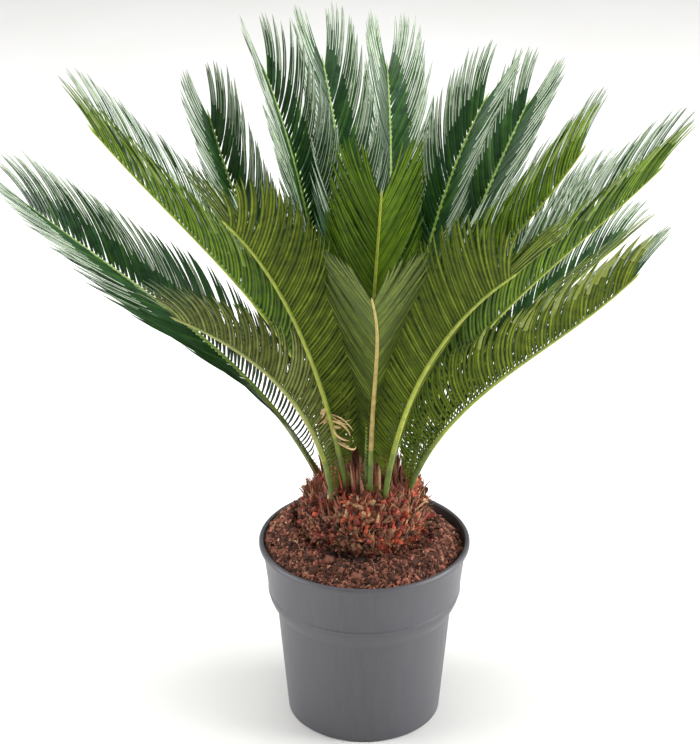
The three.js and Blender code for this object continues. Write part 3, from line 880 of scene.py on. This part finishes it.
def rib_of(midrib, rib, stalk_ends):
    """The rib from its corky base to its bare point."""
    shares = rib.points[:, 0] * STALK["rib_end"]
    point, _, left, face = midrib.at(shares)
    wide = rib.points[:, 1] * rib_width(shares)
    deep = (rib.points[:, 2] - 0.5) * rib_depth(shares)
    corners = point + wide[:, None] * left + deep[:, None] * face
    middle = shares[rib.triangles].mean(axis=1)
    numbers = np.where(rib.is_upper, 0, 1)
    for number, end in enumerate(stalk_ends, 2):
        numbers = np.where(middle < end, number, numbers)
    return corners, rib.triangles, numbers


def spines_of(midrib, spike, rng):
    """Spines on both sides of the bare stalk, below its shortest leaflets."""
    count = COUNT["spines"]
    parts = []
    for side in (1, -1):
        share = (np.arange(count) + rng.uniform(0, 0.8)) / count
        shares = mix(STALK["spines_from"], STALK["first_share"], share)
        point, along, left, face = midrib.at(shares)
        places = beside_rib(shares, point, left, face, side)
        forward = side * left + 0.45 * along + 0.7 * face + rng.normal(0, 0.12, (count, 3))
        sizes = np.stack([mix(3, 10, share), np.full(count, 2.2), np.full(count, 1.1)], axis=-1)
        parts.append(set_out(spike, places, forward, along, sizes, SPINE_GREEN))
    return parts


def make_fronds():
    rng = np.random.default_rng(7)
    leaflet, spike, rib = model_leaflet(), model_spike(), model_rib(cuts=47)
    counts = {"outer": 0, "middle": 0, "inner": 0}
    for ring, *growth, tint in FRONDS:
        counts[ring] += 1
        node = f"frond_{ring}_{counts[ring]:02d}"
        midrib = Midrib(ring, *growth)
        parts = leaflets_of(node, midrib, leaflet, rng)
        if node == BUNCH_ON:
            parts.append(dried_bunch(midrib, leaflet, rng))
        finishes = [*UPPER, MIDRIB_SHEEN_FINISH, DEAD_LEAF, *UNDER[tint]]
        blades = join(f"{node}_leaflets", parts, finishes, angle=28)
        stalk_ends = STALK_ENDS.get(tint, USUAL_ENDS)
        parts = [rib_of(midrib, rib, stalk_ends), *spines_of(midrib, spike, rng)]
        finishes = [RIB_TOP, RIB_UNDER[tint], *STALKS]
        stalk = join(f"{node}_rib", parts, finishes, angle=60)
        for piece in (blades, stalk):
            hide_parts(node)


# ---------------------------------------------------------------- trunk


def trunk_radius(share):
    """A barrel with a domed top: its radius at a share of its height."""
    swell = np.sin(np.clip(share / TRUNK["waist_share"], 0, 1) * (math.pi / 2))
    fall = np.clip((share - TRUNK["waist_share"]) / (1 - TRUNK["waist_share"]), 0, 1)
    low = mix(TRUNK["foot_radius"], TRUNK["waist_radius"], swell)
    return np.where(
        share < TRUNK["waist_share"], low, TRUNK["waist_radius"] * np.sqrt(1 - fall**2)
    )


def trunk_height(share):
    return mix(TRUNK["foot"], TRUNK["crown"], share)


def bark_at(bearing, share, rng):
    """Finish numbers by place, in clumps: redder in front, browner and darker round the sides."""
    front = np.clip(np.cos(np.radians(bearing - TRUNK["red_bearing"])), 0, 1) ** 3
    clump = np.sin(bearing / 7 + 5 * share) * np.sin(13 * share - bearing / 17)
    high = np.exp(-(((share - TRUNK["red_share"]) / TRUNK["red_spread"]) ** 2))
    red = 0.05 + (0.26 + 0.3 * high) * front + 0.26 * clump * (0.3 + front)
    plain = rng.choice([MAROON, BROWN, UMBER, STRAW], len(share), p=[0.32, 0.4, 0.22, 0.06])
    return np.where(rng.uniform(0, 1, len(share)) < red, RUST, plain)


def make_core():
    """The trunk's dark body, lumpy like cork, which shows between all that grows on it. It keeps
    5 mm inside the trunk's outline and 3 mm below its top."""
    profile = [(0, TRUNK["foot"])]
    for share in np.linspace(0, 1, 19):
        radius = float(trunk_radius(share)) - 5 * (share < 0.95)
        profile.append((radius, float(trunk_height(share)) - 3 * (share > 0.5)))
    core = turned("trunk_core", profile, steps=72)
    relief = bpy.data.textures.new("cork lumps", "VORONOI")
    relief.noise_scale = 9 * MM
    apply_modifier(
        core, "DISPLACE", texture=relief, texture_coords="LOCAL", strength=5 * MM, mid_level=0.6
    )
    core.data.materials.append(BARK[UMBER])
    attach(core, "root")
    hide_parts("trunk")


def make_leaf_bases(rng):
    """Leaf bases in the spiral that a growing trunk lays down, one a golden angle past the last."""
    count = COUNT["leaf_bases"]
    turns = np.arange(count)
    share = mix(0.0, 0.86, (turns + 0.5) / count)
    bearing = turns * GOLDEN_ANGLE + rng.normal(0, 7, count)
    slope = mix(40, 80, share) + rng.normal(0, 24, count)
    forward = on_circle(np.cos(np.radians(slope)), bearing, np.sin(np.radians(slope)))
    forward = forward + rng.normal(0, 0.45, (count, 3))
    top = on_circle(1, bearing, -0.3) + rng.normal(0, 0.4, (count, 3))
    sunk = rng.uniform(4, 11, count)
    places = on_circle(trunk_radius(share) - sunk, bearing, trunk_height(share) - 5)
    sizes = sizes_between(rng, count, (7, 19), (4, 12), (3, 7))
    shade = bark_at(bearing, share, rng)
    bases = set_out(model_leaf_base(), places, forward, top, sizes, shade[:, None])
    join("trunk_leaf_bases", [bases], BARK, angle=50)


def make_cork(rng):
    """Swollen scars and crumbling cork, which lie over the leaf bases in clumps."""
    parts = []
    for shape, count, small, large in (
        (model_lump(), COUNT["cork_lumps"], 2.5, 9),
        (model_crumb(0.7), COUNT["cork_crumbs"], 1.0, 4.0),
    ):
        share = rng.uniform(0, 1, count) ** 1.2 * 0.9
        bearing = rng.uniform(0, 360, count)
        proud = rng.uniform(-3, 2.5, count)
        spot = on_circle(trunk_radius(share) + proud, bearing, trunk_height(share))
        spot[:, 2] -= 1
        size = mix(small, large, rng.uniform(0, 1, count) ** 1.8)
        sizes = size[:, None] * rng.uniform(0.45, 1.4, (count, 3))
        forward, up = rng.normal(0, 1, (2, count, 3))
        shade = bark_at(bearing, share, rng)
        parts.append(set_out(shape, spot, forward, up, sizes, shade[:, None]))
    join("trunk_cork", parts, BARK, angle=50)


def make_bud_scales(scale, rng):
    """Stubs of dried stalks where the solids have them, and pointed scales between them."""
    count = COUNT["stubs"]
    random = repeatable(29)
    roots, aims, lengths = [], [], []
    for i in range(count):
        share = mix(0.48, 0.93, next(random))
        bearing = i * GOLDEN_ANGLE
        roots.append(on_circle(trunk_radius(share) - 7, bearing, trunk_height(share) - 3.5))
        slope = math.radians(mix(35, 78, share**2))
        leaning = bearing + mix(-14, 14, next(random))
        aims.append(on_circle(math.cos(slope), leaning, math.sin(slope)))
        lengths.append(7 + mix(15, 31, next(random)))
    sizes = np.stack([np.array(lengths), np.full(count, 7.0), np.full(count, 3.6)], axis=-1)
    level = on_circle(1, np.arange(count) * GOLDEN_ANGLE, 0.3)
    shade = rng.choice([MAROON, BROWN, STRAW], count, p=[0.2, 0.4, 0.4])
    parts = [set_out(scale, np.array(roots), np.array(aims), level, sizes, shade[:, None])]

    # Short scales clothe the shoulder, and tall ones stand among the stalks.
    for count, low, high, short, tall, slim, broad, chances in (
        (COUNT["short_scales"], 0.12, 0.9, 10, 28, 2.2, 6, [0.26, 0.32, 0.14, 0.1, 0.18]),
        (COUNT["tall_scales"], 0.82, 0.99, 26, 58, 3.4, 8, [0.14, 0.34, 0.12, 0.1, 0.3]),
    ):
        share = rng.uniform(low, high, count)
        bearing = rng.uniform(0, 360, count)
        slope = np.radians(mix(62, 86, share) + rng.normal(0, 9, count))
        forward = on_circle(np.cos(slope), bearing + rng.normal(0, 18, count), np.sin(slope))
        places = on_circle(trunk_radius(share) - 2, bearing, trunk_height(share) - 6)
        lengths = rng.uniform(short, tall, count)
        broads = rng.uniform(slim, broad, count)
        sizes = np.stack([lengths, broads, broads * 0.45], axis=-1)
        shade = rng.choice(5, count, p=chances)
        level = on_circle(1, bearing, 0.2) + rng.normal(0, 0.35, (count, 3))
        parts.append(set_out(scale, places, forward, level, sizes, shade[:, None]))
    join("trunk_bud_scales", parts, BARK, angle=50)


def make_fibres(spike, rng):
    """Fibres torn from the edges of old stalks, which hang and stand over the clumps."""
    count = COUNT["fibres"]
    share = 1 - rng.uniform(0, 1, count) * 0.97
    bearing = rng.uniform(0, 360, count)
    slope = np.radians(mix(20, 80, share) + rng.normal(0, 34, count))
    aims = on_circle(np.cos(slope), bearing + rng.normal(0, 42, count), np.sin(slope))
    roots = on_circle(trunk_radius(share) - 1, bearing, trunk_height(share) - 2)
    lengths = rng.uniform(6, 22, count) * mix(0.7, 1.25, share)
    thick = mix(0.35, 1.5, rng.uniform(0, 1, count) ** 2)
    ends = roots + aims * lengths[:, None]
    bends = (roots + ends) / 2 + rng.normal(0, 0.22, (count, 3)) * lengths[:, None]
    level = on_circle(1, bearing, 0.4)
    shade = rng.choice(5, count, p=[0.16, 0.36, 0.08, 0.16, 0.24])
    still = np.zeros(count)
    fibres = lay_along(spike, roots, bends, ends, level, thick, thick, still, shade[:, None])
    join("trunk_fibres", [fibres], BARK)


def make_wool(spike, rng):
    """Brown wool, which fills the crown between the stalks."""
    count = COUNT["wool"]
    share = rng.uniform(0.62, 1, count)
    bearing = rng.uniform(0, 360, count)
    roots = on_circle(trunk_radius(share) * 0.96, bearing, trunk_height(share) - 2)
    outward = on_circle(0.5, bearing, 1)
    aims = unit(outward + rng.normal(0, 0.5, (count, 3)))
    lengths = rng.uniform(4, 11, count)
    ends = roots + aims * lengths[:, None]
    bends = (roots + ends) / 2 + rng.normal(0, 1.4, (count, 3))
    thick = rng.uniform(0.35, 0.8, count)
    level = on_circle(1, bearing, 0.4)
    wool = lay_along(spike, roots, bends, ends, level, thick, thick, np.zeros(count), 0)
    join("trunk_wool", [wool], [WOOL])


def make_front_heap(scale, spike, rng):
    """Red cork and torn scales, heaped in front against the feet of the stalks."""
    parts = []
    for shape, count, low, high, wander, ranges in (
        (model_leaf_base(), 150, 276, 300, 0.8, ((5, 12), (3, 8), (3, 6))),
        (model_lump(), 130, 276, 302, 1.0, ((2.5, 8), (2.5, 8), (2.5, 6))),
        (model_crumb(0.7), 700, 274, 304, 1.0, ((1, 4), (1, 4), (1, 4))),
        (scale, 80, 274, 292, 0.3, ((10, 25), (2.2, 5), (1, 2.4))),
        (spike, 330, 274, 302, 0.5, ((7, 20), (0.5, 1.5), (0.5, 1.5))),
    ):
        bearing = rng.normal(TRUNK["heap_bearing"], 27, count)
        rise = rng.uniform(0, 1, count)
        radius = mix(TRUNK["heap_foot"], TRUNK["heap_top"], rise) + rng.normal(0, 1.5, count)
        places = on_circle(radius, bearing, mix(low, high, rise))
        forward = on_circle(0.3, bearing, 1) + rng.normal(0, wander, (count, 3))
        level = on_circle(1, bearing, 0.2) + rng.normal(0, 0.3, (count, 3))
        sizes = sizes_between(rng, count, *ranges)
        shade = rng.choice([MAROON, BROWN, UMBER, STRAW], count, p=[0.3, 0.36, 0.14, 0.2])
        clump = 0.27 + 0.25 * np.sin(bearing / 6 + 4 * rise)
        shade = np.where(rng.uniform(0, 1, count) < clump, RUST, shade)
        parts.append(set_out(shape, places, forward, level, sizes, shade[:, None]))
    join("trunk_front_heap", parts, BARK, angle=50)


def make_trunk():
    rng = np.random.default_rng(11)
    scale, spike = model_scale(), model_spike()
    make_core()
    make_leaf_bases(rng)
    make_cork(rng)
    make_bud_scales(scale, rng)
    make_fibres(spike, rng)
    make_wool(spike, rng)
    make_front_heap(scale, spike, rng)


# ---------------------------------------------------------------- soil


def soil_height(x, y):
    """Height of the soil's top: a mound with a heap and a hollow, a dipping edge, small lumps."""
    radius = np.hypot(x, y)
    bearing = np.degrees(np.arctan2(y, x))

    def towards(middle):
        return (1 + np.cos(np.radians(bearing - middle))) / 2

    heap = towards(SOIL["heap_bearing"]) ** 4
    edge = SOIL["edge_height"] - SOIL["edge_dip"] * towards(SOIL["dip_bearing"]) ** 3
    edge = edge + SOIL["heap_at_wall"] * heap
    mound = SOIL["mound_height"] + SOIL["heap_rise"] * heap
    mound = mound - SOIL["hollow_depth"] * towards(SOIL["hollow_bearing"]) ** 12
    rising = np.clip(
        (radius - SOIL["seat_radius"]) / (SOIL["mound_radius"] - SOIL["seat_radius"]), 0, 1
    )
    inner = mix(SOIL["seat_height"], mound, rising)
    falling = np.clip(
        (radius - SOIL["mound_radius"]) / (SOIL["edge_radius"] - SOIL["mound_radius"]), 0, 1
    )
    smooth = mix(inner, edge, falling)
    coarse = np.sin(x / 9) * np.cos(y / 9)
    fine = np.sin((x + y / 2) / 3.5) * np.sin((y - x / 2) / 3.5)
    tiny = np.sin(x / 1.7 + y) * np.sin(y / 1.9 - x / 2)
    return smooth + 1.8 * coarse + 1.6 * fine + 0.9 * tiny


def pot_inner_radius(height):
    below = POT["step_radius"] - POT["wall"]
    above = POT["shoulder_radius"] - POT["wall"]
    top = POT["collar_top_radius"] - POT["wall"] / 2
    heights = [0, POT["step_height"], POT["shoulder_height"], POT["height"]]
    return np.interp(height, heights, [POT["foot_radius"] - POT["wall"], below, above, top])


def make_bed():
    """The filled inside of the pot, with a lumpy top."""
    foot = POT["floor"] + 0.35
    heights = [foot, POT["step_height"], POT["shoulder_height"]]
    profile = [(0, foot)]
    profile += [(float(pot_inner_radius(height)) - SOIL["gap"], height) for height in heights]
    rings = [*np.arange(SOIL["edge_radius"], SOIL["crumbs_from"], -2.0), 0]
    profile += [(radius, SOIL["bed_height"]) for radius in rings]
    bed = turned("soil_bed", profile, steps=180)
    for vertex in bed.data.vertices:
        if vertex.co.z > (SOIL["bed_height"] - 1) * MM:
            x, y = vertex.co.x / MM, vertex.co.y / MM
            vertex.co.z = float(soil_height(x, y)) * MM
            reach = math.hypot(x, y)
            limit = float(pot_inner_radius(vertex.co.z / MM)) - SOIL["gap"]
            if reach > limit - 2:
                vertex.co.x *= limit / reach
                vertex.co.y *= limit / reach
    bed.data.materials.append(PEAT)
    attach(bed, "root")
    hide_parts("soil")


def coir_on_trunk(crumb, rng):
    """Coir crumbs, which cling to the trunk's side above the heap."""
    count = COUNT["coir_crumbs"]
    bearing = SOIL["coir_bearing"] + rng.normal(0, 34, count)
    share = rng.uniform(0, 1, count) ** 1.4 * 0.6
    spot = on_circle(trunk_radius(share) + mix(5, -1, share), bearing, trunk_height(share))
    spot = spot + rng.normal(0, 1.6, (count, 3))
    forward = rng.normal(0, 1, (count, 3))
    up = on_circle(1, bearing, 0.6)
    sizes = rng.uniform(1.5, 6, count)[:, None] * rng.uniform(0.7, 1.2, (count, 3))
    shade = rng.choice(4, count, p=[0.36, 0.44, 0.18, 0.02])
    return set_out(crumb, spot, forward, up, sizes, shade[:, None])


def coir_fibres(spike, rng):
    """Coir fibres, which lie loosely over the crumbs."""
    count = COUNT["coir_fibres"]
    radius = np.sqrt(rng.uniform(SOIL["fibres_from"] ** 2, SOIL["fibres_to"] ** 2, count))
    spot = on_circle(radius, rng.uniform(0, 360, count), 0)
    spot[:, 2] = soil_height(spot[:, 0], spot[:, 1]) + 0.6
    aims = unit(rng.normal(0, 1, (count, 3)) * np.array([1, 1, 0.25]))
    lengths = rng.uniform(4, 15, count)
    ends = spot + aims * lengths[:, None]
    far = np.hypot(ends[:, 0], ends[:, 1])
    ends[:, :2] *= np.minimum(1, SOIL["crumbs_to"] / far)[:, None]
    ends[:, 2] = soil_height(ends[:, 0], ends[:, 1]) + rng.uniform(0.5, 3, count)
    bends = (spot + ends) / 2 + rng.normal(0, 1.4, (count, 3)) + np.array([0, 0, 1.5])
    up = np.tile([0.0, 0.0, 1.0], (count, 1))
    thick = rng.uniform(0.4, 1.0, count)
    shade = rng.choice([1, 2, 3], count, p=[0.5, 0.3, 0.2])
    still = np.zeros(count)
    return lay_along(spike, spot, bends, ends, up, thick, thick, still, shade[:, None])


def make_crumbs(rng):
    """Soft clumps, the crumbs over them and flat chips of bark, with painted shade: those in the
    hollow at the trunk's foot are dark.
    """
    crumb, chip, lump, spike = model_crumb(0.8), model_crumb(0.3), model_lump(), model_spike()
    parts = []
    for shape, count, small, large, sink, chances in (
        (lump, COUNT["soil_clumps"], 3, 12, 2.2, [0.5, 0.4, 0.1, 0.0]),
        (crumb, COUNT["soil_crumbs"], 0.9, 4.2, 0.1, [0.36, 0.42, 0.18, 0.04]),
        (chip, COUNT["bark_chips"], 2.5, 9, 0.2, [0.3, 0.36, 0.28, 0.06]),
    ):
        radius = np.sqrt(rng.uniform(SOIL["crumbs_from"] ** 2, SOIL["crumbs_to"] ** 2, count))
        bearing = rng.uniform(0, 360, count)
        spot = on_circle(radius, bearing, 0)
        spot[:, 2] = soil_height(spot[:, 0], spot[:, 1]) + rng.uniform(-0.6, 0.9, count) - sink
        forward = rng.normal(0, 1, (count, 3)) * np.array([1, 1, 0.5])
        up = rng.normal(0, 0.45, (count, 3)) + np.array([0, 0, 1])
        size = mix(small, large, rng.uniform(0, 1, count) ** 2.6)
        sizes = size[:, None] * rng.uniform(0.6, 1.25, (count, 3))
        shade = rng.choice(4, count, p=chances)
        # Painted shade: crumbs in the hollow at the trunk's foot mostly take the darkest finish.
        aside = (bearing - SOIL["hollow_bearing"]) / SOIL["shade_width"]
        beyond = np.maximum((radius - SOIL["shade_radius"]) / SOIL["shade_fade"], 0)
        shade_in_hollow = np.exp(-(aside**2) - beyond**2)
        shade = np.where(rng.uniform(0, 1, count) < shade_in_hollow, HOLLOW_SHADE, shade)
        parts.append(set_out(shape, spot, forward, up, sizes, shade[:, None]))
    clumps, crumbs, chips = parts
    loose = [crumbs, coir_on_trunk(crumb, rng), coir_fibres(spike, rng)]
    join("soil_clumps", [clumps, chips], CRUMBS)
    join("soil_crumbs", loose, CRUMBS)


def make_soil():
    make_bed()
    make_crumbs(np.random.default_rng(5))


# ---------------------------------------------------------------- pot


def make_pot():
    """The pot: its profile from the underside up and back down inside, with the drain holes cut."""
    bead = POT["height"] - POT["bead_depth"]
    rise = POT["shoulder_height"] - POT["step_height"]
    shoulder = []
    for share in (0.15, 0.32, 0.5, 0.7, 0.88):
        swelling = math.sin(share * math.pi / 2) ** 1.25
        radius = mix(POT["step_radius"], POT["shoulder_radius"], swelling)
        shoulder.append((radius, POT["step_height"] + share * rise))
    profile = [
        (0, 0),
        (POT["foot_radius"] - 1.6, 0),
        (POT["foot_radius"], 1.6),
        (POT["step_radius"] - 0.3, POT["step_height"] - 3),
        (POT["step_radius"] + 0.5, POT["step_height"] - 1),
        (POT["step_radius"] + 0.5, POT["step_height"] + 1),
        *shoulder,
        (POT["shoulder_radius"] - 0.2, POT["shoulder_height"] - 1.5),
        (POT["shoulder_radius"] + 0.6, POT["shoulder_height"] - 0.6),
        (POT["shoulder_radius"] + 0.6, POT["shoulder_height"] + 0.8),
        (POT["shoulder_radius"], POT["shoulder_height"] + 1.8),
        (POT["collar_top_radius"], bead),
        (POT["rim_radius"] - 0.8, bead),
        (POT["rim_radius"], bead + 1.6),
        (POT["rim_radius"], POT["height"] - 1.8),
        (POT["rim_radius"] - 1.6, POT["height"]),
        (float(pot_inner_radius(POT["height"])) + 0.8, POT["height"]),
        (float(pot_inner_radius(POT["height"])), POT["height"] - 1),
        (float(pot_inner_radius(POT["shoulder_height"])), POT["shoulder_height"]),
        (float(pot_inner_radius(POT["step_height"])), POT["step_height"]),
        (float(pot_inner_radius(POT["floor"])), POT["floor"]),
        (0, POT["floor"]),
    ]
    pot = turned("pot_shell", profile, steps=144)
    for i in range(POT["drain_holes"]):
        deselect()
        middle = on_circle(POT["drain_circle"], i * 360 / POT["drain_holes"], POT["floor"] / 2)
        bpy.ops.mesh.primitive_cylinder_add(
            vertices=32,
            radius=POT["drain_radius"] * MM,
            depth=3 * POT["floor"] * MM,
            location=tuple(middle * MM),
        )
        drill = bpy.context.object
        apply_modifier(pot, "BOOLEAN", object=drill, operation="DIFFERENCE", solver="EXACT")
        bpy.data.objects.remove(drill)
    apply_modifier(
        pot, "BEVEL", width=0.6 * MM, segments=2, limit_method="ANGLE", angle_limit=math.radians(30)
    )
    deselect()
    pot.select_set(True)
    bpy.context.view_layer.objects.active = pot
    bpy.ops.object.shade_smooth_by_angle(angle=math.radians(30))
    pot.data.materials.append(POT_PLASTIC)
    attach(pot, "root")
    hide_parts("pot")


# ---------------------------------------------------------------- studio


def make_studio():
    """The floor, the lights and the camera, whose places and sizes are in metres."""
    deselect()
    bpy.ops.mesh.primitive_plane_add(size=24, location=(0, 4, 0))
    floor = bpy.context.object
    floor.name = floor.data.name = "floor"
    # Matt floor paint: pale and without gloss, its tone a little uneven.
    paint = grained("pale matt floor", "#e6e5e2", "#e9e8e6", 400, (0.9, 0.95), 0.0)
    floor.data.materials.append(paint)

    world = bpy.data.worlds.new("studio")
    bpy.context.scene.world = world
    world.use_nodes = True
    background = world.node_tree.nodes["Background"]
    background.inputs["Color"].default_value = srgb("#f4f6f8")
    background.inputs["Strength"].default_value = 0.3

    # Large soft boxes stand at both sides, a little in front, and one hangs overhead.
    for name, place, size, power in (
        ("left box", (-2.9, -0.2, 1.6), 2.4, 72),
        ("right box", (2.9, -0.2, 1.6), 2.4, 128),
        ("top box", (0.0, 0.3, 3.2), 2.8, 150),
    ):
        lamp = bpy.data.lights.new(name, "AREA")
        lamp.shape = "DISK"
        lamp.size = size
        lamp.energy = power
        holder = bpy.data.objects.new(name, lamp)
        bpy.context.scene.collection.objects.link(holder)
        holder.location = place
        aim = Vector((0, 0, 0.4)) - Vector(place)
        holder.rotation_euler = aim.to_track_quat("-Z", "Y").to_euler()

    lens = bpy.data.cameras.new("camera")
    lens.sensor_width = 36
    lens.lens = 118.7
    camera = bpy.data.objects.new("camera", lens)
    bpy.context.scene.collection.objects.link(camera)
    camera.location = (-0.0163, -2.437, 1.5988)
    camera.rotation_euler = (math.radians(64.348), 0, 0)
    bpy.context.scene.camera = camera
    bpy.context.scene.view_settings.view_transform = "Standard"


make_studio()
make_pot()
make_soil()
make_trunk()
make_fronds()
